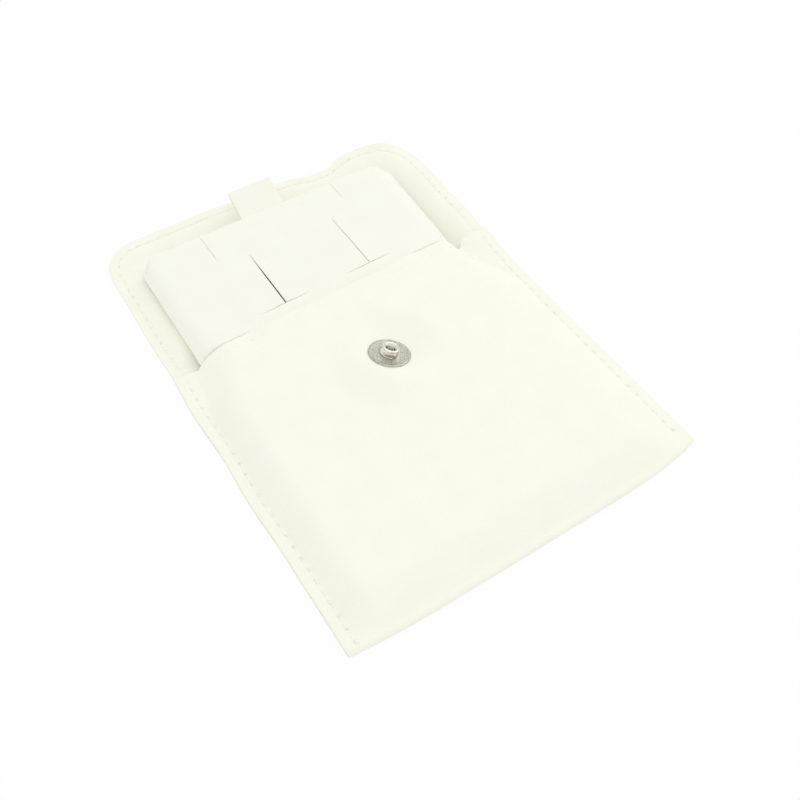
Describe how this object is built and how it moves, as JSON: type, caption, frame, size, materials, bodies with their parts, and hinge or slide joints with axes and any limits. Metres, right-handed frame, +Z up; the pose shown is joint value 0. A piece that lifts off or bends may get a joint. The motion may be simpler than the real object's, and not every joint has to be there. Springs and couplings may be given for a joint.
{
  "type": "jewelry pouch",
  "caption": "Flat cloth envelope pouch lying open: round-cornered snap flap, sewn pocket, and a slit display pad with a pull tab drawn part of the way out.",
  "frame": {"origin": "on the surface the pouch lies on, under the middle of its box", "axes": "+Y from the bottom fold towards the flap's end, +X across the pouch to the right seen from the front, +Z up out of the front panel"},
  "size_m": [0.09, 0.1308, 0.0092],
  "materials": {
    "outer_microfibre": "fine brushed microfibre, ivory",
    "lining_microfibre": "fine brushed microfibre, ivory",
    "pad_microfibre": "fine brushed microfibre, pale ivory",
    "pad_foam": "thin closed-cell foam",
    "pad_board": "grey pulp board",
    "pad_backing": "matt backing paper",
    "nickel_plate": "nickel plate, finely stippled flange",
    "spring_brass": "drawn spring wire"
  },
  "bodies": {
    "pouch": {"outer_shell": "outer_microfibre", "shell_lining": "lining_microfibre", "crease_outer": "outer_microfibre", "crease_lining": "lining_microfibre", "snap_stud": "nickel_plate", "stud_post": "nickel_plate"},
    "flap": {"flap_outer": "outer_microfibre", "flap_lining": "lining_microfibre", "snap_socket": "nickel_plate", "socket_spring": "spring_brass", "snap_cap": "nickel_plate"},
    "pad": {"pad_cover": "pad_microfibre", "pad_foam": "pad_foam", "pad_board": "pad_board", "pad_backing": "pad_backing"},
    "tab": {"pull_tab": "pad_microfibre"}
  },
  "joints": [
    {"name": "flap_fold", "type": "hinge", "parent": "pouch", "child": "flap", "pos_m": [0, 0.0219, -0.00015], "axis": [1, 0, 0], "range_deg": [-175, 0], "deforming": ["crease_outer", "crease_lining"]},
    {"name": "pad_slide", "type": "slide", "parent": "pouch", "child": "pad", "axis": [0, 0.9999, 0.0166], "range_m": [-0.036, 0.095]},
    {"name": "tab_bend", "type": "hinge", "parent": "pad", "child": "tab", "pos_m": [-0.002, 0.05265, 0.00539], "axis": [1, 0, 0], "range_deg": [-20, 50], "stiffness_Nm_per_rad": 0.0001}
  ]
}
